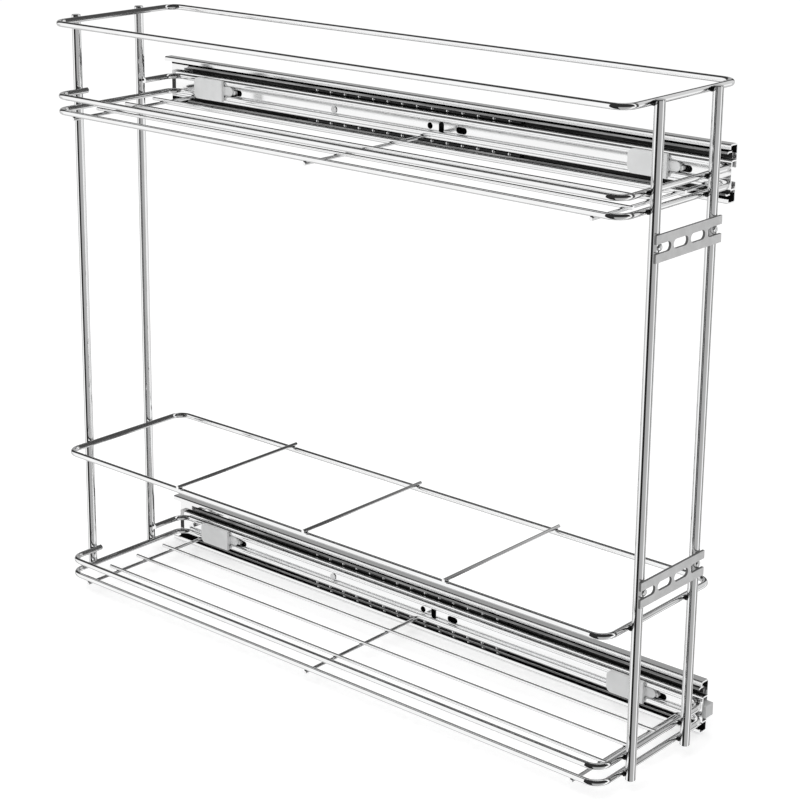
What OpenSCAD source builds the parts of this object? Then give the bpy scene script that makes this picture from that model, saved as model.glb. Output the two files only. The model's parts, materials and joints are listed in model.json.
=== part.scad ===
// Two-tier wire basket that pulls out of a narrow kitchen cabinet.
// The basket hangs by its far long side on two full-extension ball-bearing slides,
// and a cabinet door is screwed to the slotted brackets on its front uprights.
//
// Frame: +X is the pull-out direction, +Y points at the cabinet wall, +Z is up.
// The origin is the middle screw hole of the lower slide, on the wall-side face.

/* [Basket] */
// Length between the centre lines of the two end wires
basket_length = 588; // [560:1:620]
// Width between the centre lines of the two long wires
basket_width = 142; // [125:1:200]
// Height between the floor rails of the two tiers
tier_spacing = 431; // [300:1:600]
// Height of the upper tier's top rail above its floor rail
upper_rim_height = 76.5; // [50:0.5:120]
// Height of the lower tier's top rail above its floor rail
lower_rim_height = 118; // [80:1:180]
// Height of each tier's middle rail above its floor rail
mid_rise = 13.5; // [12:0.5:18]
// Bend radius of the rails' corners, on the wire's centre line
corner_radius = 12; // [8:1:25]
// How far the front end wire stands ahead of the cabinet rails
basket_lead = 6; // [0:1:15]

/* [Wires] */
// Diameter of the bent rail wires
ring_wire_d = 5; // [4.5:0.5:6.5]
// Diameter of the uprights
upright_d = 8; // [6:0.5:12]
// Bevel on the cut ends of the uprights
upright_bevel = 0.5; // [0.2:0.1:1]
// Distance of the near uprights from the near long wire
near_upright_inset = 31.5; // [20:0.5:50]
// Distance of the far uprights from the far long wire
far_upright_inset = 36.5; // [20:0.5:50]
// How far the front uprights reach below the lower floor rail's centre
front_upright_drop = 5; // [3:0.5:20]
// How far the rear uprights reach below the lower floor rail's centre
rear_upright_drop = 3; // [3:0.5:20]
// How far the rear uprights stand above the top of the upper rail
rear_upright_rise = 1; // [0:0.5:5]
// Diameter of the cross wires under the floor rails
cross_wire_d = 3; // [2:0.5:4]
// Distance of the outer cross wires from the end wires
cross_inset = 24; // [20:1:60]
// How far the cross wires reach past the long wires' centre lines
cross_overhang = 2; // [0.5:0.5:2]
// Diameter of the long floor wires
floor_wire_d = 3; // [2:0.5:4]
// Number of long floor wires in each tier
floor_wire_count = 3; // [1:1:3]
// Distance of the first floor wire from the near long wire
floor_wire_first = 35; // [20:0.5:50]
// Spacing of the floor wires
floor_wire_pitch = 33.5; // [20:0.5:36]
// How far the floor wires reach past the outer cross wires
floor_wire_overhang = 10; // [5:1:15]
// Diameter of the divider wires on the lower tier
divider_wire_d = 3; // [2:0.5:4]
// Number of divider wires
divider_count = 3; // [1:1:6]
// How far the divider wires reach past the long wires' centre lines
divider_overhang = 4; // [2:0.5:8]
// Distance from the near rear upright to the middle rail's near cut end
near_stub_reach = 4.5; // [2:0.5:10]
// How far the middle rail's far cut end reaches past the far rear upright
far_stub_reach = 1.5; // [1:0.5:10]
// Gap left for the weld where two wires touch
weld_gap = 0.02; // [0.01:0.01:0.05]

/* [Door brackets] */
// Length of the bracket strips
bracket_length = 84.5; // [82:0.5:110]
// Height of the bracket strips
bracket_height = 20; // [16:0.5:30]
// Thickness of the bracket strips
bracket_thickness = 2; // [1.5:0.1:4]
// Distance of the bracket's middle from the near long wire
bracket_middle = 67.75; // [65:0.25:70]
// Height of the lower bracket's middle above the lower floor rail
lower_bracket_height = 147; // [140:1:180]
// Height of the upper bracket's middle above the lower floor rail
upper_bracket_height = 406; // [300:1:415]
// Length of the door screw slots
slot_length = 18.5; // [12:0.5:19]
// Width of the door screw slots
slot_width = 7; // [5:0.5:10]
// Distance between the middles of the two closed slots
slot_pitch = 22; // [21:0.5:24]
// Distance from the bracket's middle to where the open end slots begin
end_slot_start = 23.5; // [23:0.5:26]

/* [Slides] */
// Length of the cabinet rails
rail_length = 600; // [580:10:660]
// Height of the cabinet rails
slide_height = 45; // [45:0.5:50]
// Depth of a slide from its basket face to the cabinet wall
slide_depth = 12.7; // [12.5:0.1:14]
// How far the slides' middles lie below the middle of the two rails they carry
slide_drop = 1; // [0:0.5:2]
// Thickness of the rails' sheet metal
sheet = 1.2; // [1:0.1:1.4]
// Distance of the cabinet rails' lips from the basket face
outer_lip_setback = 2.2; // [1.5:0.1:3]
// Height of the cabinet rails' lips
outer_lip_height = 3.8; // [3:0.1:4]
// Distance of the middle rails' lips from the basket face
middle_lip_setback = 2; // [1.8:0.1:2.4]
// Height of the middle rails' lips, past the sheet
middle_lip_height = 0.5; // [0.3:0.1:0.8]
// Gap between the middle rail's web and the cabinet rail's web
web_gap = 1.3; // [1.2:0.1:1.5]
// Outer bend radius of the rails' sheet
sheet_bend = 2; // [1.6:0.1:2.2]
// Length of the middle rails
middle_length = 568; // [560:1:600]
// How far the middle rails end behind the cabinet rails' front ends
middle_setback = 2; // [1:0.5:6]
// Length of the basket rails
inner_length = 586; // [570:1:600]
// How far the basket rails reach ahead of the cabinet rails' front ends
inner_lead = 3; // [0:0.5:6]
// Depth of the basket rails
inner_depth = 7.5; // [7:0.1:7.6]
// Height of the notch in the webs' front ends
notch_height = 11; // [10:0.5:16]
// Length of the notch in the middle rail's front end
notch_length = 8; // [5:0.5:12]
// How far the notch lies below the slide's middle
notch_drop = 1.5; // [0:0.5:2]

/* [Balls and cages] */
// Diameter of the balls between the cabinet rail and the middle rail
outer_ball_d = 4.8; // [4.6:0.1:5]
// Diameter of the balls between the middle rail and the basket rail
inner_ball_d = 4.5; // [4.3:0.1:4.6]
// Distance of the outer balls from the basket face
outer_ball_depth = 6.8; // [6.4:0.1:7]
// Distance of the inner balls from the basket face
inner_ball_depth = 5.2; // [5:0.1:5.3]
// Number of balls in each row
ball_count = 14; // [6:1:14]
// Spacing of the balls in a row
ball_pitch = 16; // [10:0.5:16]
// Depth of the grooves that the balls run in
race_depth = 0.2; // [0.1:0.05:0.3]
// Clearance between a ball and its groove
race_clearance = 0.05; // [0.02:0.01:0.1]
// Clearance between a ball and its pocket in the cage
pocket_clearance = 0.1; // [0.05:0.05:0.2]
// Length of the cages
cage_length = 230; // [225:1:240]
// Distance from the cabinet rail's rear end to the cages, pushed in
cage_start = 178; // [170:1:182]
// How far the balls stand out of their pockets at the basket face
pocket_opening = 0.7; // [0.5:0.1:0.8]
// Thickness of the cages' ball-holding arms
cage_arm = 1.6; // [1.2:0.1:1.8]
// Thickness of the cages' webs
cage_web = 0.6; // [0.5:0.05:0.65]

/* [Basket rail holes] */
// Distance of the rivet from the basket rail's rear end
rivet_place = 195; // [150:1:240]
// Distance of the round hole from the basket rail's rear end
round_hole_place = 301; // [260:1:304]
// Distance of the upright slot from the basket rail's rear end
upright_slot_place = 313; // [312:1:318]
// Distance of the level slot from the basket rail's rear end
level_slot_place = 334; // [328:1:360]
// Width of the holes and slots
web_hole_d = 5.5; // [5.2:0.1:6]
// Length of the upright slot
upright_slot_length = 9.5; // [8:0.5:12]
// Length of the level slot
level_slot_length = 11; // [8:0.5:14]
// Diameter of the rivet's shank
rivet_d = 4; // [3:0.1:5]
// Diameter of the rivet's heads
rivet_head_d = 6; // [5.6:0.1:6.5]
// Thickness of the rivet's heads
rivet_head = 0.8; // [0.5:0.1:1]
// Clearance round the rivet's shank
rivet_clearance = 0.05; // [0.02:0.01:0.1]

/* [Clips and stops] */
// Length of the clip's cover plate
clip_length = 35; // [30:1:45]
// Thickness of the clip's cover plate
clip_plate = 2.8; // [2:0.1:5]
// How far the cover plate overlaps the outside of both wires
clip_margin = 0.25; // [0:0.05:1]
// Radius of the cover plate's rear corners
clip_corner = 5; // [2:0.5:7]
// Length of the clip's tongue, ahead of the cover plate
clip_tongue = 9; // [7:1:16]
// Thickness of the clip's tongue
clip_tongue_thickness = 3; // [2:0.1:4]
// Clearance between the clip and what it grips
clip_clearance = 0.2; // [0.1:0.05:0.3]
// Diameter of the nub that locks the clip into the basket rail
clip_nub_d = 3.5; // [2.5:0.1:4.5]
// Distance from the rear corner's bend to the rear clip
rear_clip_inset = 19; // [2:1:40]
// Distance from the front clip's tongue to the front corner's bend
front_clip_inset = 32.5; // [20:0.5:60]
// How far the clip's slot in the basket rail begins behind the tongue's end
clip_slot_back = 2.5; // [2:0.5:4]
// How far the clip's slot in the basket rail reaches past the tongue's end
clip_slot_ahead = 8.5; // [6:0.5:12]
// How far the rear buffer stands behind the basket rail
buffer_length = 5; // [3:0.5:8]
// How deep the rear buffer is plugged into the basket rail
buffer_plug = 10; // [6:1:15]
// Clearance round the rear buffer's plug
buffer_clearance = 0.2; // [0.1:0.05:0.3]
// How far the front catch stands ahead of the cabinet rail
catch_lead = 5.5; // [3:0.5:10]
// Length of the catch's tail on the middle rail's web
catch_tail = 12; // [8:1:20]
// Clearance between the catch and the notch
catch_clearance = 0.25; // [0.15:0.05:0.4]

/* [Cabinet screws] */
// Number of screw holes in each cabinet rail
screw_count = 3; // [2:1:3]
// Spacing of the screw holes
screw_pitch = 224; // [192:32:224]
// Distance of the first screw hole from the cabinet rail's front end
screw_setback = 37; // [28:1:50]
// Diameter of the screw holes
screw_hole_d = 5; // [4:0.1:6.5]

/* [Hidden] */
wire_fn = 48;
round_fn = 40;
eps = 0.01;

// Along X
rail_front = screw_setback + screw_pitch * (screw_count - 1) / 2;
rail_rear = rail_front - rail_length;
ring_front = rail_front + basket_lead;
ring_rear = ring_front - basket_length;
middle_front = rail_front - middle_setback;
inner_front = rail_front + inner_lead;
inner_rear = inner_front - inner_length;
cage_rear = rail_rear + cage_start;
upright_gap = ring_wire_d / 2 + weld_gap + upright_d / 2;
front_upright_x = ring_front + upright_gap;
rear_upright_x = ring_rear - upright_gap;
clip_reach = clip_length + clip_tongue;
rear_clip_x = ring_rear + corner_radius + rear_clip_inset;
front_clip_x = ring_front - corner_radius - front_clip_inset - clip_reach;

// Along Y; a depth in a slide is measured from its basket face
basket_face = -slide_depth;
ring_far = basket_face - weld_gap - ring_wire_d / 2;
ring_near = ring_far - basket_width;
near_upright_y = ring_near + near_upright_inset;
far_upright_y = ring_far - far_upright_inset;

// Along Z
lower_slide_z = 0;
upper_slide_z = tier_spacing;
function floor_z(slide_z) = slide_z + slide_drop - mid_rise / 2;
function mid_z(slide_z) = floor_z(slide_z) + mid_rise;
lower_top_z = floor_z(lower_slide_z) + lower_rim_height;
upper_top_z = floor_z(upper_slide_z) + upper_rim_height;

// Section of a slide: half heights of the sheet faces and the rows of balls
function ball_room(d) = d + 2 * race_clearance - 2 * race_depth;
outer_half = slide_height / 2;
middle_half = outer_half - sheet - ball_room(outer_ball_d);
inner_half = middle_half - sheet - ball_room(inner_ball_d);
outer_row = middle_half + ball_room(outer_ball_d) / 2;
inner_row = inner_half + ball_room(inner_ball_d) / 2;
middle_depth = slide_depth - sheet - web_gap;
outer_cage_depth = middle_depth + (web_gap + cage_web) / 2;
inner_cage_depth = (middle_depth - sheet + inner_depth + cage_web) / 2;

// ---------- Straight and bent wire ----------

module rod_x(from, to, y, z, d) {
    translate([from, y, z]) rotate([0, 90, 0]) cylinder(d = d, h = to - from, $fn = wire_fn);
}

module rod_y(from, to, x, z, d) {
    translate([x, from, z]) rotate([-90, 0, 0]) cylinder(d = d, h = to - from, $fn = wire_fn);
}

// Quarter bend round a corner centre, starting at the given angle
module corner_bend(x, y, z, start) {
    translate([x, y, z]) rotate([0, 0, start])
        rotate_extrude(angle = 90, $fn = 4 * round_fn)
            translate([corner_radius, 0]) circle(d = ring_wire_d, $fn = wire_fn);
}

// The long wires, the front wire and the four bends that every rail has
module rail_without_rear(z) {
    x0 = ring_rear + corner_radius;
    x1 = ring_front - corner_radius;
    y0 = ring_near + corner_radius;
    y1 = ring_far - corner_radius;
    rod_x(x0, x1, ring_near, z, ring_wire_d);
    rod_x(x0, x1, ring_far, z, ring_wire_d);
    rod_y(y0, y1, ring_front, z, ring_wire_d);
    corner_bend(x1, y1, z, 0);
    corner_bend(x0, y1, z, 90);
    corner_bend(x0, y0, z, 180);
    corner_bend(x1, y0, z, 270);
}

module closed_rail(z) {
    color("gainsboro") union() {
        rail_without_rear(z);
        rod_y(ring_near + corner_radius, ring_far - corner_radius, ring_rear, z, ring_wire_d);
    }
}

// A rail whose rear wire is cut away between the two uprights
module open_rail(z) {
    near_end = near_upright_y + near_stub_reach;
    far_end = far_upright_y - far_stub_reach;
    color("gainsboro") union() {
        rail_without_rear(z);
        rod_y(ring_near + corner_radius, near_end, ring_rear, z, ring_wire_d);
        rod_y(far_end, ring_far - corner_radius, ring_rear, z, ring_wire_d);
    }
}

// ---------- Uprights ----------

module upright(x, y, bottom, top) {
    color("silver") translate([x, y, bottom]) {
        cylinder(d1 = upright_d - 2 * upright_bevel, d2 = upright_d, h = upright_bevel, $fn = wire_fn);
        translate([0, 0, upright_bevel])
            cylinder(d = upright_d, h = top - bottom - 2 * upright_bevel, $fn = wire_fn);
        translate([0, 0, top - bottom - upright_bevel])
            cylinder(d1 = upright_d, d2 = upright_d - 2 * upright_bevel, h = upright_bevel, $fn = wire_fn);
    }
}

module front_upright(y) {
    upright(front_upright_x, y, floor_z(lower_slide_z) - front_upright_drop, upper_top_z + ring_wire_d / 2);
}

module rear_upright(y) {
    upright(rear_upright_x, y, floor_z(lower_slide_z) - rear_upright_drop,
            upper_top_z + ring_wire_d / 2 + rear_upright_rise);
}

// ---------- Floor and divider wires ----------

function cross_z(slide_z) = floor_z(slide_z) - ring_wire_d / 2 - weld_gap - cross_wire_d / 2;

module cross_wires(slide_z) {
    color("gainsboro")
        for (x = [ring_rear + cross_inset, (ring_rear + ring_front) / 2, ring_front - cross_inset])
            rod_y(ring_near - cross_overhang, ring_far + cross_overhang, x, cross_z(slide_z), cross_wire_d);
}

module floor_wires(slide_z) {
    z = cross_z(slide_z) + cross_wire_d / 2 + weld_gap + floor_wire_d / 2;
    reach = cross_inset - floor_wire_overhang;
    color("gainsboro")
        for (i = [0 : floor_wire_count - 1])
            rod_x(ring_rear + reach, ring_front - reach,
                  ring_near + floor_wire_first + i * floor_wire_pitch, z, floor_wire_d);
}

module divider_wires() {
    z = lower_top_z + ring_wire_d / 2 + weld_gap + divider_wire_d / 2;
    color("gainsboro")
        for (i = [1 : divider_count])
            rod_y(ring_near - divider_overhang, ring_far + divider_overhang,
                  ring_rear + i * basket_length / (divider_count + 1), z, divider_wire_d);
}

// ---------- Door brackets ----------

// A level slot with round ends, in the plane of the strip
module round_slot(middle, length, width) {
    half = (length - width) / 2;
    translate([middle - half, -width / 2]) square([2 * half, width]);
    for (side = [-1, 1])
        translate([middle + side * half, 0]) circle(d = width, $fn = round_fn);
}

module door_bracket(height) {
    x = front_upright_x + upright_d / 2 + weld_gap;
    open_length = bracket_length;
    color("darkgray")
        translate([x, ring_near + bracket_middle, floor_z(lower_slide_z) + height])
            rotate([90, 0, 90]) linear_extrude(bracket_thickness) difference() {
                square([bracket_length, bracket_height], center = true);
                for (side = [-1, 1]) {
                    round_slot(side * slot_pitch / 2, slot_length, slot_width);
                    round_slot(side * (end_slot_start + open_length / 2), open_length, slot_width);
                }
            }
}

// ---------- Slide sections ----------
// Drawn with the depth from the basket face across and the height up.

module rounded_block(from, to, half_height, radius) {
    translate([from, radius - half_height]) square([to - from, 2 * (half_height - radius)]);
    translate([from + radius, -half_height]) square([to - from - 2 * radius, 2 * half_height]);
    for (depth = [from + radius, to - radius], side = [-1, 1])
        translate([depth, side * (half_height - radius)]) circle(r = radius, $fn = round_fn);
}

// The ball grooves of one row, above and below
module races(depth, row, ball_d) {
    for (side = [-1, 1])
        translate([depth, side * row]) circle(d = ball_d + 2 * race_clearance, $fn = round_fn);
}

// A lipped channel that opens at the basket face
module lipped_section(from, to, half_height, lip_end) {
    difference() {
        rounded_block(from, to, half_height, sheet_bend);
        rounded_block(from + sheet, to - sheet, half_height - sheet, sheet_bend - sheet);
        translate([from - 1, -lip_end]) square([sheet + 1 + eps, 2 * lip_end]);
    }
}

module outer_section() {
    difference() {
        lipped_section(outer_lip_setback, slide_depth, outer_half, outer_half - outer_lip_height);
        races(outer_ball_depth, outer_row, outer_ball_d);
    }
}

module middle_section() {
    difference() {
        lipped_section(middle_lip_setback, middle_depth, middle_half,
                       middle_half - sheet - middle_lip_height);
        races(outer_ball_depth, outer_row, outer_ball_d);
        races(inner_ball_depth, inner_row, inner_ball_d);
    }
}

// A plain channel whose web is the basket face
module inner_section() {
    inside = inner_half - sheet;
    difference() {
        rounded_block(0, inner_depth + sheet_bend, inner_half, sheet_bend);
        translate([sheet, -inside]) square([inner_depth + sheet_bend, 2 * inside]);
        translate([inner_depth, -inner_half - 1]) square([sheet_bend + 1, 2 * inner_half + 2]);
        races(inner_ball_depth, inner_row, inner_ball_d);
    }
}

// Runs a section along X at a slide's height
module along_slide(from, length, slide_z) {
    translate([from, basket_face, slide_z]) rotate([90, 0, 90]) linear_extrude(length) children();
}

// ---------- Slide rails ----------

// The notch in a web's front end, for the front catch
module front_notch(web_depth, slide_z) {
    translate([middle_front - notch_length, basket_face + web_depth - sheet - eps,
               slide_z - notch_drop - notch_height / 2])
        cube([notch_length + middle_setback + 1, sheet + 2 * eps, notch_height]);
}

module outer_rail(slide_z) {
    color("lightgray") difference() {
        along_slide(rail_rear, rail_length, slide_z) outer_section();
        front_notch(slide_depth, slide_z);
        for (i = [0 : screw_count - 1])
            translate([rail_front - screw_setback - i * screw_pitch, -sheet - 1, slide_z])
                rotate([-90, 0, 0]) cylinder(d = screw_hole_d, h = sheet + 2, $fn = round_fn);
    }
}

module middle_rail(slide_z) {
    color("lightgray") difference() {
        along_slide(middle_front - middle_length, middle_length, slide_z) middle_section();
        front_notch(middle_depth, slide_z);
    }
}

// Cuts a hole's outline through the basket rail's web
module web_cut(x, slide_z) {
    translate([x, basket_face + sheet + 1, slide_z])
        rotate([90, 0, 0]) linear_extrude(sheet + 2) children();
}

module inner_rail(slide_z) {
    clip_slot = clip_slot_back + clip_slot_ahead;
    color("whitesmoke") difference() {
        along_slide(inner_rear, inner_length, slide_z) inner_section();
        web_cut(inner_rear + rivet_place, slide_z)
            circle(d = rivet_d + 2 * rivet_clearance, $fn = round_fn);
        web_cut(inner_rear + round_hole_place, slide_z)
            circle(d = web_hole_d, $fn = round_fn);
        web_cut(inner_rear + upright_slot_place, slide_z)
            rotate(90) round_slot(0, upright_slot_length, web_hole_d);
        web_cut(inner_rear + level_slot_place, slide_z)
            round_slot(0, level_slot_length, web_hole_d);
        for (clip_x = [rear_clip_x, front_clip_x])
            web_cut(clip_x + clip_reach - clip_slot_back, slide_z)
                round_slot(clip_slot / 2, clip_slot, web_hole_d);
    }
}

// ---------- Balls and cages ----------

function ball_x(i) = cage_rear + (cage_length - (ball_count - 1) * ball_pitch) / 2 + i * ball_pitch;

module ball_rows(depth, row, ball_d, slide_z) {
    color("white")
        for (i = [0 : ball_count - 1], side = [-1, 1])
            translate([ball_x(i), basket_face + depth, slide_z + side * row])
                sphere(d = ball_d, $fn = round_fn);
}

// A channel whose two arms hold the balls in pockets, open a little at the basket face
module cage(ball_depth, row, ball_d, web_depth, slide_z) {
    arm_start = ball_depth - ball_d / 2 + pocket_opening;
    half = row + cage_arm / 2;
    color("dimgray") difference() {
        along_slide(cage_rear, cage_length, slide_z) difference() {
            translate([arm_start, -half]) square([web_depth - arm_start, 2 * half]);
            translate([arm_start - 1, cage_arm - half])
                square([web_depth - cage_web - arm_start + 1, 2 * (half - cage_arm)]);
        }
        for (i = [0 : ball_count - 1], side = [-1, 1])
            translate([ball_x(i), basket_face + ball_depth, slide_z + side * row - ball_d / 2])
                cylinder(d = ball_d + 2 * pocket_clearance, h = ball_d, $fn = round_fn);
    }
}

module outer_balls(slide_z) {
    ball_rows(outer_ball_depth, outer_row, outer_ball_d, slide_z);
}

module inner_balls(slide_z) {
    ball_rows(inner_ball_depth, inner_row, inner_ball_d, slide_z);
}

module outer_cage(slide_z) {
    cage(outer_ball_depth, outer_row, outer_ball_d, outer_cage_depth, slide_z);
}

module inner_cage(slide_z) {
    cage(inner_ball_depth, inner_row, inner_ball_d, inner_cage_depth, slide_z);
}

// ---------- Rivet, clips and stops ----------

module rivet(slide_z) {
    color("silver") translate([inner_rear + rivet_place, basket_face, slide_z]) rotate([-90, 0, 0]) {
        translate([0, 0, -rivet_head]) cylinder(d = rivet_head_d, h = rivet_head, $fn = round_fn);
        cylinder(d = rivet_d, h = sheet, $fn = round_fn);
        translate([0, 0, sheet]) cylinder(d = rivet_head_d, h = rivet_head, $fn = round_fn);
    }
}

// A cover plate's outline, rounded at its rear corners
module clip_outline(length, half) {
    translate([clip_corner, -half]) square([length - clip_corner, 2 * half]);
    translate([0, clip_corner - half]) square([clip_corner + eps, 2 * (half - clip_corner)]);
    for (side = [-1, 1])
        translate([clip_corner, side * (half - clip_corner)]) circle(r = clip_corner, $fn = round_fn);
}

// Plastic clip that traps the far middle and floor wires against the basket rail:
// a cover plate over both wires, a rib between them and a tongue with a locking nub.
module clip(x, slide_z) {
    wires_middle = floor_z(slide_z) + mid_rise / 2;
    plate_half = (mid_rise + ring_wire_d) / 2 + clip_margin;
    rib_height = mid_rise - ring_wire_d - 2 * clip_clearance;
    plate_back = ring_far - ring_wire_d / 2 - clip_clearance;
    rib_back = basket_face - clip_clearance;
    tongue_front = rib_back - clip_tongue_thickness;
    tongue_tip = x + clip_reach - rib_height / 2;
    nub_x = x + clip_reach - clip_slot_back + web_hole_d / 2;
    nub_root = clip_tongue_thickness / 2;
    color("lightgray") {
        translate([x, plate_back, wires_middle]) rotate([90, 0, 0])
            linear_extrude(clip_plate) clip_outline(clip_length, plate_half);
        translate([x + clip_corner, plate_back - eps, wires_middle - rib_height / 2])
            cube([clip_length - clip_corner, rib_back - plate_back + eps, rib_height]);
        translate([x + clip_length - eps, tongue_front, wires_middle - rib_height / 2])
            cube([tongue_tip - x - clip_length + eps, clip_tongue_thickness, rib_height]);
        translate([tongue_tip, rib_back, wires_middle]) rotate([90, 0, 0])
            cylinder(d = rib_height, h = clip_tongue_thickness, $fn = round_fn);
        translate([nub_x, rib_back - nub_root, slide_z]) rotate([-90, 0, 0])
            cylinder(d = clip_nub_d, h = nub_root + clip_clearance + sheet, $fn = round_fn);
    }
}

// Black buffer plugged into the basket rail's rear end
module rear_buffer(slide_z) {
    plug_half = inner_half - sheet - buffer_clearance;
    color("black") {
        translate([inner_rear - buffer_length, basket_face, slide_z - inner_half])
            cube([buffer_length - weld_gap, inner_depth, 2 * inner_half]);
        translate([inner_rear - buffer_length / 2, basket_face + sheet + buffer_clearance, slide_z - plug_half])
            cube([buffer_length / 2 + buffer_plug, inner_depth - sheet - 2 * buffer_clearance, 2 * plug_half]);
    }
}

// Plastic catch on the middle rail's web that comes home in the cabinet rail's notch
module front_catch(slide_z) {
    height = notch_height - 2 * catch_clearance;
    x = middle_front - notch_length + catch_clearance;
    web_face = basket_face + middle_depth - sheet;
    head_near = basket_face + sheet + 2 * catch_clearance;
    head_far = -2 * catch_clearance;
    z = slide_z - notch_drop - height / 2;
    tail_thickness = sheet;
    color("lightgray") {
        translate([x, head_near, z]) cube([rail_front + catch_lead - x, head_far - head_near, height]);
        translate([x - catch_tail, web_face - weld_gap - tail_thickness, z])
            cube([catch_tail + eps, tail_thickness, height]);
    }
}

// ---------- Assembly ----------

rear_upright(near_upright_y);  // rear_upright_near
rear_upright(far_upright_y);  // rear_upright_far
front_upright(near_upright_y);  // front_upright_near
front_upright(far_upright_y);  // front_upright_far

closed_rail(upper_top_z);  // upper_top_rail
open_rail(mid_z(upper_slide_z));  // upper_mid_rail
closed_rail(floor_z(upper_slide_z));  // upper_floor_rail
cross_wires(upper_slide_z);  // upper_cross_wires
floor_wires(upper_slide_z);  // upper_floor_wires

closed_rail(lower_top_z);  // lower_top_rail
open_rail(mid_z(lower_slide_z));  // lower_mid_rail
closed_rail(floor_z(lower_slide_z));  // lower_floor_rail
cross_wires(lower_slide_z);  // lower_cross_wires
floor_wires(lower_slide_z);  // lower_floor_wires
divider_wires();  // lower_divider_wires

door_bracket(upper_bracket_height);  // upper_door_bracket
door_bracket(lower_bracket_height);  // lower_door_bracket

outer_rail(upper_slide_z);  // upper_outer_rail
middle_rail(upper_slide_z);  // upper_middle_rail
inner_rail(upper_slide_z);  // upper_inner_rail
outer_cage(upper_slide_z);  // upper_outer_cage
outer_balls(upper_slide_z);  // upper_outer_balls
inner_cage(upper_slide_z);  // upper_inner_cage
inner_balls(upper_slide_z);  // upper_inner_balls
clip(rear_clip_x, upper_slide_z);  // upper_rear_clip
clip(front_clip_x, upper_slide_z);  // upper_front_clip
rivet(upper_slide_z);  // upper_rivet
rear_buffer(upper_slide_z);  // upper_rear_buffer

outer_rail(lower_slide_z);  // lower_outer_rail
middle_rail(lower_slide_z);  // lower_middle_rail
inner_rail(lower_slide_z);  // lower_inner_rail
outer_cage(lower_slide_z);  // lower_outer_cage
outer_balls(lower_slide_z);  // lower_outer_balls
inner_cage(lower_slide_z);  // lower_inner_cage
inner_balls(lower_slide_z);  // lower_inner_balls
clip(rear_clip_x, lower_slide_z);  // lower_rear_clip
clip(front_clip_x, lower_slide_z);  // lower_front_clip
rivet(lower_slide_z);  // lower_rivet
rear_buffer(lower_slide_z);  // lower_rear_buffer
front_catch(lower_slide_z);  // lower_front_catch
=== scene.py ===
"""Looks of the pull-out cabinet basket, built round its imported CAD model.

Every CAD solid keeps its mesh and takes a procedural material. The weld beads are the only
shapes added to it. Shapes and zones are given in millimetres, the camera and the lamp in metres.
"""
import json
import math

import bmesh
import bpy
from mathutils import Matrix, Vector, noise


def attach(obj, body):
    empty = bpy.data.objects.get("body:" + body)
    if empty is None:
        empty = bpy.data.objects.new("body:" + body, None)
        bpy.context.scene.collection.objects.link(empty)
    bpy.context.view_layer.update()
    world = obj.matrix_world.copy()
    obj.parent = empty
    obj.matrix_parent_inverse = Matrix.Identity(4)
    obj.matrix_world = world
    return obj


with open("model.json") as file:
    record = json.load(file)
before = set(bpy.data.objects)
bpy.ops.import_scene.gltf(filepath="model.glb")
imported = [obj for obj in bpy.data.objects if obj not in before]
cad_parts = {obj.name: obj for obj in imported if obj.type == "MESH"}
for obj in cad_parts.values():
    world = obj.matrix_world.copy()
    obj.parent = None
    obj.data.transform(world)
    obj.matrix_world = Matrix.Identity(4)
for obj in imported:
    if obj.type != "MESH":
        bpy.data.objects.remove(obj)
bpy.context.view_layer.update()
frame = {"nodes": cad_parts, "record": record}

MM = 0.001
WHITE = (1.0, 1.0, 1.0, 1.0)
SIDES = (-1, 1)
TIERS = ("lower", "upper")

# Places in the part's frame, in millimetres
UPRIGHTS_Y = (-125.72, -51.72)
FRONT_CONTACT_X, REAR_CONTACT_X = 269.51, -323.51
RING_NEAR_Y, RING_FAR_Y = -157.22, -15.22
FLOOR_Z = {"lower": -5.75, "upper": 425.25}
MID_Z = {"lower": 7.75, "upper": 438.75}
TOP_Z = {"lower": 112.25, "upper": 501.75}
CONTACT_RISE = 2.51
CROSS_X = (-297.0, -27.0, 243.0)
FLOOR_WIRES_Y = (-122.22, -88.72, -55.22)
DIVIDERS_X = (-174.0, -27.0, 120.0)
BRACKETS_Z = (141.25, 400.25)
BRACKET_BACK_X = 277.53
UPPER_SLIDE_Z = 431.0
FLOOR_LEVEL = -24.0
FLOOR_HALF_WIDTH = 6000.0


# ---------- Node helpers ----------

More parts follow.
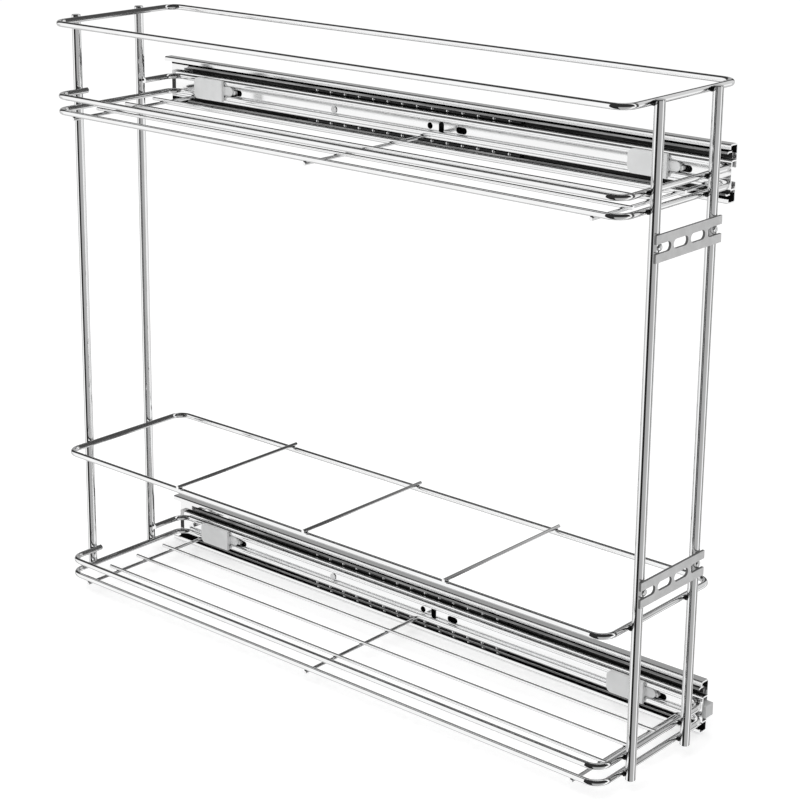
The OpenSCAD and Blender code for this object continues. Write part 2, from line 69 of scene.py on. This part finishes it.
class Tree:
    """A node tree with short ways to add and join nodes."""

    def __init__(self, tree):
        self.tree = tree

    def add(self, kind, **settings):
        node = self.tree.nodes.new(kind)
        for name, value in settings.items():
            setattr(node, name, value)
        return node

    def join(self, output, node, socket):
        self.tree.links.new(output, node.inputs[socket])

    def math(self, operation, a, b=None):
        node = self.add("ShaderNodeMath", operation=operation)
        for i, value in enumerate((a, b)):
            if value is None:
                continue
            if isinstance(value, (int, float)):
                node.inputs[i].default_value = value
            else:
                self.join(value, node, i)
        return node.outputs[0]

    def span(self, value, low, high, to_low=0.0, to_high=1.0, blend="SMOOTHSTEP"):
        """to_low below the lower limit, to_high above the upper one, and a blend between."""
        node = self.add("ShaderNodeMapRange", interpolation_type=blend)
        self.join(value, node, 0)
        for i, number in enumerate((low, high, to_low, to_high), 1):
            node.inputs[i].default_value = number
        return node.outputs[0]

    def mix(self, factor, a, b):
        node = self.add("ShaderNodeMix", data_type="RGBA")
        for i, value in ((0, factor), (6, a), (7, b)):
            if isinstance(value, (int, float, tuple)):
                node.inputs[i].default_value = value
            else:
                self.join(value, node, i)
        return node.outputs[2]

    def ramp(self, value, stops):
        """Grey levels at places from 0 to 1."""
        node = self.add("ShaderNodeValToRGB")
        marks = node.color_ramp.elements
        while len(marks) > 1:
            marks.remove(marks[-1])
        for i, (place, level) in enumerate(stops):
            mark = marks[0] if i == 0 else marks.new(place)
            mark.position = place
            mark.color = (level, level, level, 1.0)
        self.join(value, node, 0)
        return node.outputs[0]

    def axes(self, kind, output):
        """X, Y and Z of what a node gives out."""
        axes = self.add("ShaderNodeSeparateXYZ")
        self.join(self.add(kind).outputs[output], axes, 0)
        return axes.outputs

    def place(self):
        """X, Y and Z in the piece's own frame, in metres. At rest that is the part's frame."""
        return self.axes("ShaderNodeTexCoord", "Object")

    def facing(self):
        """X, Y and Z of the face's own direction."""
        return self.axes("ShaderNodeNewGeometry", "True Normal")

    def inside(self, value, low, high, soft=0.1 * MM):
        """1 between two limits, 0 outside them."""
        return self.math("MULTIPLY", self.span(value, low - soft, low + soft, blend="LINEAR"),
                         self.span(value, high - soft, high + soft, 1.0, 0.0, blend="LINEAR"))

    def grain(self, scale, detail=2.0, stretch=(1.0, 1.0, 1.0)):
        """Noise in the object's own coordinates, in metres."""
        source = self.add("ShaderNodeTexCoord")
        mapping = self.add("ShaderNodeMapping")
        mapping.inputs["Scale"].default_value = stretch
        self.join(source.outputs["Object"], mapping, "Vector")
        node = self.add("ShaderNodeTexNoise")
        node.inputs["Scale"].default_value = scale
        node.inputs["Detail"].default_value = detail
        node.inputs["Roughness"].default_value = 0.5
        self.join(mapping.outputs[0], node, "Vector")
        return node.outputs["Fac"]


def new_material(name):
    material = bpy.data.materials.new(name)
    material.use_nodes = True
    material.node_tree.nodes.clear()
    tree = Tree(material.node_tree)
    shader = tree.add("ShaderNodeBsdfPrincipled")
    output = tree.add("ShaderNodeOutputMaterial")
    tree.join(shader.outputs[0], output, 0)
    return material, tree, shader


def bump(tree, shader, height, strength, distance=0.2 * MM):
    node = tree.add("ShaderNodeBump")
    node.inputs["Strength"].default_value = strength
    node.inputs["Distance"].default_value = distance
    tree.join(height, node, "Height")
    tree.join(node.outputs[0], shader, "Normal")


def grey(level, tint=(0.0, 0.0, 0.0)):
    return tuple(min(1.0, level + t) for t in tint) + (1.0,)


# ---------- Materials ----------

def chrome(name, level, rough, cloud=0.03):
    """Bright plating: nearly a mirror, with faint clouds and polishing marks."""
    material, tree, shader = new_material(name)
    shader.inputs["Metallic"].default_value = 1.0
    clouds = tree.span(tree.grain(38.0, 3.0), 0.35, 0.65)
    fine = tree.grain(620.0, 3.0)
    tree.join(tree.mix(clouds, grey(level - cloud), grey(level, (0.0, 0.004, 0.008))),
              shader, "Base Color")
    tree.join(tree.span(fine, 0.3, 0.75, rough * 0.7, rough * 1.4), shader, "Roughness")
    bump(tree, shader, fine, 0.012)
    return material


def weld_metal():
    """Weld beads: burnt dark, with bright scales."""
    material, tree, shader = new_material("weld_metal")
    shader.inputs["Metallic"].default_value = 1.0
    scales = tree.grain(900.0)
    tree.join(tree.mix(tree.span(scales, 0.42, 0.62), grey(0.012), grey(0.1)), shader, "Base Color")
    tree.join(tree.span(scales, 0.3, 0.7, 0.2, 0.42), shader, "Roughness")
    bump(tree, shader, scales, 0.4, 0.3 * MM)
    return material


# How much duller than the rest a rail's wall side is
BACK_ROUGHER, BACK_LESS_METAL = 0.3, 0.55


def zinc(name, level, rough, shade_zones=None):
    """Rolled, zinc plated sheet with fine streaks along the rail; its races and lips carry painted
    shade, dark in the channel.

    The zones of painted shade are each given in millimetres: least and most height off the slide's
    middle, nearest and furthest Y, and then the grey level painted there.
    """
    material, tree, shader = new_material(name)
    shader.inputs["Specular IOR Level"].default_value = 0.0
    streaks = tree.grain(1.0, 3.0, (6.0, 260.0, 260.0))
    spots = tree.span(tree.grain(150.0, 3.0), 0.62, 0.75, 0.0, 0.25)
    shade = tree.mix(tree.span(streaks, 0.3, 0.7),
                     grey(level - 0.04), grey(level, (0.0, 0.003, 0.006)))
    shade = tree.mix(spots, shade, grey(level - 0.08))
    roughness = tree.span(streaks, 0.25, 0.75, rough * 0.8, rough * 1.25)
    # 1 on faces that point at the wall
    back = tree.span(tree.facing()[1], 0.5, 0.9)
    roughness = tree.math("ADD", roughness, tree.math("MULTIPLY", back, BACK_ROUGHER))
    metal = tree.math("SUBTRACT", 1.0, tree.math("MULTIPLY", back, BACK_LESS_METAL))
    # Painted shade: each zone turns to its dark grey level, varied along the rail, and loses its
    # metal
    if shade_zones:
        shade_streaks = tree.span(tree.grain(1.0, 3.0, (22.0, 420.0, 420.0)), 0.35, 0.7, 0.6, 1.6)
        shaded_area = 0.0
        for zone, depth in painted_shade_masks(tree, shade_zones):
            shade = tree.mix(zone, shade, tree.math("MULTIPLY", shade_streaks, depth))
            shaded_area = tree.math("MAXIMUM", zone, shaded_area)
        metal = tree.math("MULTIPLY", metal, tree.math("SUBTRACT", 1.0, shaded_area))
    tree.join(metal, shader, "Metallic")
    tree.join(shade, shader, "Base Color")
    tree.join(roughness, shader, "Roughness")
    bump(tree, shader, streaks, 0.008)
    return material


def off_middle(tree, z):
    """How far a height lies off the middle of its slide, in metres."""
    # The lower slide lies below 0.2 m and its middle is at 0
    middle = tree.span(z, 0.2, 0.201, 0.0, UPPER_SLIDE_Z * MM, blend="LINEAR")
    return tree.math("ABSOLUTE", tree.math("SUBTRACT", z, middle))


def painted_shade_masks(tree, shade_zones):
    """Each painted shade zone's mask and level. The rails' end faces stay out of every zone."""
    place = tree.place()
    height = off_middle(tree, place[2])
    along = tree.span(tree.math("ABSOLUTE", tree.facing()[0]), 0.5, 0.9, 1.0, 0.0)
    zones = []
    for least, most, near, far, level in shade_zones:
        zone = tree.math("MULTIPLY", tree.inside(height, least * MM, most * MM),
                         tree.inside(place[1], near * MM, far * MM))
        zones.append((tree.math("MULTIPLY", zone, along), level))
    return zones


def bracket_steel():
    """Matt grey steel strip with a fine grain, rubbed spots, and painted shade on its edges and
    slot walls.
    """
    material, tree, shader = new_material("bracket_steel")
    shader.inputs["Metallic"].default_value = 0.35
    grain = tree.grain(1100.0)
    spots = tree.grain(90.0, 3.0)
    shade = tree.mix(tree.span(spots, 0.35, 0.7), grey(0.65), grey(0.72))
    shade = tree.mix(tree.span(grain, 0.3, 0.7, 0.0, 0.2), shade, grey(0.56))
    # Painted shade: faces that don't face along X, the strip's edges and slot walls, turn nearly
    # black
    edge_shade = tree.span(tree.math("ABSOLUTE", tree.facing()[0]), 0.3, 0.8, 1.0, 0.0)
    tree.join(tree.mix(edge_shade, shade, grey(0.16)), shader, "Base Color")
    tree.join(tree.span(grain, 0.3, 0.7, 0.42, 0.55), shader, "Roughness")
    bump(tree, shader, grain, 0.12)
    return material


def plastic(name, color, rough, grain_scale):
    """Moulded plastic with a fine texture."""
    material, tree, shader = new_material(name)
    grain = tree.grain(grain_scale, 3.0)
    flow = tree.span(tree.grain(55.0), 0.35, 0.65)
    dark = tuple(c * 0.93 for c in color) + (1.0,)
    tree.join(tree.mix(flow, dark, color + (1.0,)), shader, "Base Color")
    tree.join(tree.span(grain, 0.3, 0.7, rough * 0.85, rough * 1.2), shader, "Roughness")
    bump(tree, shader, grain, 0.03)
    return material


def buffer_plastic():
    """Black pad, with a pale end above and below it."""
    material, tree, shader = new_material("buffer_plastic")
    grain = tree.grain(500.0, 3.0)
    pale = tree.span(off_middle(tree, tree.place()[2]), 6.1 * MM, 6.3 * MM)
    black = tree.mix(tree.span(grain, 0.3, 0.7), grey(0.01), grey(0.02))
    tree.join(tree.mix(pale, black, grey(0.7)), shader, "Base Color")
    tree.join(tree.span(grain, 0.3, 0.7, 0.42, 0.6), shader, "Roughness")
    bump(tree, shader, grain, 0.03)
    return material


# Zones of painted shade in the channels and on the lips, with their grey levels, as zinc() takes
# them
OUTER_PAINTED_SHADE = [(15.0, 21.4, -9.35, -0.9, 0.01)]
MIDDLE_PAINTED_SHADE = [(15.55, 17.0, -9.6, -2.4, 0.01), (10.0, 15.65, -4.2, -3.5, 0.07),
               (14.8, 15.65, -8.9, -4.0, 0.012), (14.9, 16.9, -10.8, -9.65, 0.24)]
INNER_PAINTED_SHADE = [(10.15, 11.6, -10.6, -6.3, 0.012), (10.15, 11.6, -6.3, -5.0, 0.2)]

MATERIALS = {
    "upright_chrome": chrome("upright_chrome", 0.93, 0.045),
    "wire_chrome": chrome("wire_chrome", 0.94, 0.045),
    "bracket_steel": bracket_steel(),
    "outer_rail_steel": zinc("outer_rail_steel", 0.92, 0.1, OUTER_PAINTED_SHADE),
    "middle_rail_steel": zinc("middle_rail_steel", 0.9, 0.1, MIDDLE_PAINTED_SHADE),
    "inner_rail_steel": zinc("inner_rail_steel", 0.97, 0.08, INNER_PAINTED_SHADE),
    "ball_steel": chrome("ball_steel", 0.86, 0.04, 0.01),
    "cage_plastic": plastic("cage_plastic", (0.008, 0.008, 0.009), 0.5, 900.0),
    "clip_plastic": plastic("clip_plastic", (0.74, 0.745, 0.745), 0.38, 500.0),
    "catch_plastic": plastic("catch_plastic", (0.62, 0.625, 0.625), 0.42, 500.0),
    "buffer_plastic": buffer_plastic(),
    "rivet_steel": zinc("rivet_steel", 0.72, 0.28),
}
WELD_METAL = weld_metal()


def dress_nodes():
    """Each CAD node keeps its mesh and takes its slot's material."""
    slots = {row["node"]: row["material_slot"] for row in frame["record"]["subparts"]}
    for name, node in frame["nodes"].items():
        for slot in node.material_slots:
            slot.material = MATERIALS[slots[name]]


# ---------- Weld beads ----------

# Radii of the beads, in millimetres along X, Y and Z
FRONT_RAIL_BEAD = (1.5, 2.2, 2.0)
REAR_RAIL_BEAD = (1.0, 1.4, 1.2)
CROSS_BEAD = (1.7, 1.8, 0.9)
FLOOR_BEAD = (1.3, 1.3, 0.6)
BRACKET_BEAD = (1.2, 1.5, 2.2)
PLUG_BEAD = (1.35, 3.2, 2.6)


def link(name, data):
    """A new object in the scene."""
    made = bpy.data.objects.new(name, data)
    bpy.context.scene.collection.objects.link(made)
    return made


def lump(mesh, centre, radii, seed):
    """One weld bead: an uneven flattened ball."""
    made = bmesh.ops.create_icosphere(mesh, subdivisions=2, radius=1.0)
    for vertex in made["verts"]:
        wave = noise.noise(vertex.co * 1.7 + Vector((seed, 0.0, 0.0)))
        size = 1.0 + 0.2 * wave
        vertex.co = Vector([(c + p * r * size) * MM for c, p, r in zip(centre, vertex.co, radii)])


def beads(name, places, radii, material=WELD_METAL):
    """One piece of several beads, on the basket."""
    mesh = bmesh.new()
    for i, place in enumerate(places):
        lump(mesh, place, radii, 3.7 * i)
    data = bpy.data.meshes.new(name)
    mesh.to_mesh(data)
    mesh.free()
    for face in data.polygons:
        face.use_smooth = True
    data.materials.append(material)
    piece = link(name, data)
    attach(piece, "basket")


def rail_beads(name, tier, x, radii):
    """Beads on both sides of the uprights, where a rail crosses them."""
    off_axis = 3.1
    beads(name, [(x, y + off_axis * side, z) for y in UPRIGHTS_Y for side in SIDES
                 for z in (FLOOR_Z[tier], MID_Z[tier], TOP_Z[tier])], radii)


def weld_beads():
    ring = (RING_NEAR_Y, RING_FAR_Y)
    # Rail beads sit a little outside the line where rail and upright touch
    outward = 0.7
    for tier in TIERS:
        under = FLOOR_Z[tier] - CONTACT_RISE
        rail_beads(tier + "_front_rail_welds", tier, FRONT_CONTACT_X + outward, FRONT_RAIL_BEAD)
        rail_beads(tier + "_rear_rail_welds", tier, REAR_CONTACT_X - outward, REAR_RAIL_BEAD)
        beads(tier + "_cross_welds", [(x, y, under) for x in CROSS_X for y in ring], CROSS_BEAD)
        beads(tier + "_floor_welds",
              [(x, y, under) for x in CROSS_X for y in FLOOR_WIRES_Y], FLOOR_BEAD)
    beads("divider_welds",
          [(x, y, TOP_Z["lower"] + CONTACT_RISE) for x in DIVIDERS_X for y in ring], CROSS_BEAD)
    # Two beads high and two low at each crossing of a bracket and an upright
    across, up = 2.9, 7.2
    beads("bracket_welds",
          [(BRACKET_BACK_X, y + across * side, z + up * end) for y in UPRIGHTS_Y for side in SIDES
           for z in BRACKETS_Z for end in SIDES], BRACKET_BEAD)
    # Nuggets on the uprights' fronts, inside the brackets' open end slots
    inward = 1.3
    beads("bracket_plug_welds",
          [(BRACKET_BACK_X, y - inward * side, z) for y, side in zip(UPRIGHTS_Y, SIDES)
           for z in BRACKETS_Z], PLUG_BEAD, MATERIALS["upright_chrome"])


# ---------- Studio ----------

def degrees(stops):
    """Ramp stops given by angle, from -180 to 180 degrees."""
    return [((angle + 180.0) / 360.0, level) for angle, level in stops]


# Light for everything that isn't a mirror
WORLD_LIGHT = 0.75
# What uprights mirror, by compass angle from the X axis
LOW_RING = degrees([(-180, 0.60), (-156, 0.62), (-147, 1.0), (-118, 1.0), (-115, 0.02), (-72, 0.02),
                    (-69, 0.42), (2, 0.45), (10, 1.0), (34, 1.0), (38, 0.08), (50, 0.08), (55, 1.0),
                    (62, 1.0), (70, 0.60), (179, 0.60)])
# What the long wires mirror, by the angle round the X axis: 0 is the far side, 90 is overhead
OVERHEAD = degrees([(-180, 1.0), (-20, 0.5), (2, 0.40), (36, 0.34), (43, 0.04), (115, 0.04),
                    (127, 1.0), (179, 1.0)])


def floor():
    """Pale matt floor that keeps the shadow, with a glow that only the camera sees."""
    half, level = FLOOR_HALF_WIDTH * MM, FLOOR_LEVEL * MM
    corners = [(-half, -half, level), (half, -half, level),
               (half, half, level), (-half, half, level)]
    data = bpy.data.meshes.new("floor")
    data.from_pydata(corners, [], [(0, 1, 2, 3)])
    plane = link("floor", data)
    material = bpy.data.materials.new("floor")
    material.use_nodes = True
    material.node_tree.nodes.clear()
    tree = Tree(material.node_tree)
    matt = tree.add("ShaderNodeBsdfDiffuse")
    matt.inputs["Color"].default_value = grey(0.82)
    glow = tree.add("ShaderNodeEmission")
    path = tree.add("ShaderNodeLightPath")
    tree.join(tree.math("MULTIPLY", path.outputs["Is Camera Ray"], 0.4), glow, "Strength")
    both = tree.add("ShaderNodeAddShader")
    tree.join(matt.outputs[0], both, 0)
    tree.join(glow.outputs[0], both, 1)
    output = tree.add("ShaderNodeOutputMaterial")
    tree.join(both.outputs[0], output, 0)
    data.materials.append(material)
    plane.visible_glossy = False
    plane.visible_transmission = False


def full_turn(tree, rise, run):
    """The angle of a direction, from 0 at -180 degrees to 1 at 180 degrees."""
    return tree.span(tree.math("ARCTAN2", rise, run), -math.pi, math.pi, blend="LINEAR")


def end_wires(tree, x, y):
    """What the bends and the end wires mirror, by X and Y of a direction of length 1."""
    # Dark, but light in the lower parts of the front end wires
    wires = tree.mix(tree.span(x, -0.2, -0.05), grey(0.04), tree.span(y, 0.68, 0.8, 0.07, 0.7))
    # On a bend first dark, then white next to the end wire
    bends = tree.mix(tree.span(y, 0.36, 0.44), grey(0.03), WHITE)
    return tree.mix(tree.span(y, 0.54, 0.6), bends, wires)


def studio_world():
    """White all round, with dark flags that only polished metal mirrors."""
    world = bpy.data.worlds.new("studio")
    bpy.context.scene.world = world
    world.use_nodes = True
    world.node_tree.nodes.clear()
    tree = Tree(world.node_tree)
    x, y, z = tree.axes("ShaderNodeTexCoord", "Generated")
    low = tree.ramp(full_turn(tree, y, x), LOW_RING)
    over = tree.ramp(full_turn(tree, z, y), OVERHEAD)
    # Only the long wires send rays far to the rear
    over = tree.mix(tree.span(x, -0.45, -0.42), over, end_wires(tree, x, y))
    mirrored = tree.mix(tree.span(z, -0.06, 0.04), low, over)
    path = tree.add("ShaderNodeLightPath")
    shown = tree.math("MAXIMUM", path.outputs["Is Camera Ray"], path.outputs["Is Transmission Ray"])
    lit = tree.mix(path.outputs["Is Glossy Ray"], grey(WORLD_LIGHT), mirrored)
    back = tree.add("ShaderNodeBackground")
    tree.join(tree.mix(shown, lit, WHITE), back, "Color")
    output = tree.add("ShaderNodeOutputWorld")
    tree.join(back.outputs[0], output, 0)


def soft_lamp(name, place, aim, size, energy):
    """A rectangular lamp that is itself in no mirror and no picture."""
    data = bpy.data.lights.new(name, "AREA")
    data.shape = "RECTANGLE"
    data.size, data.size_y = size
    data.energy = energy
    lamp = link(name, data)
    lamp.location = place
    lamp.rotation_euler = (Vector(aim) - Vector(place)).to_track_quat("-Z", "Y").to_euler()
    lamp.visible_camera = False
    lamp.visible_glossy = False


def camera():
    """The photograph's viewing angle, 15 degrees down and 42 degrees round from the near side."""
    data = bpy.data.cameras.new("camera")
    data.sensor_width = 36.0
    data.lens = 93.35
    data.shift_x = 0.1
    data.shift_y = -0.144
    data.clip_end = 50.0
    eye = link("camera", data)
    eye.location = (1.0432, -1.3137, 0.75885)
    eye.rotation_euler = (math.radians(90.0 - 15.443), 0.0, math.radians(42.368))
    bpy.context.scene.camera = eye


camera()
studio_world()
floor()
soft_lamp("key", (0.5, -1.9, 2.2), (-0.02, -0.1, 0.2), (2.2, 1.6), 30.0)
dress_nodes()
weld_beads()

bpy.context.scene.view_settings.view_transform = "Standard"
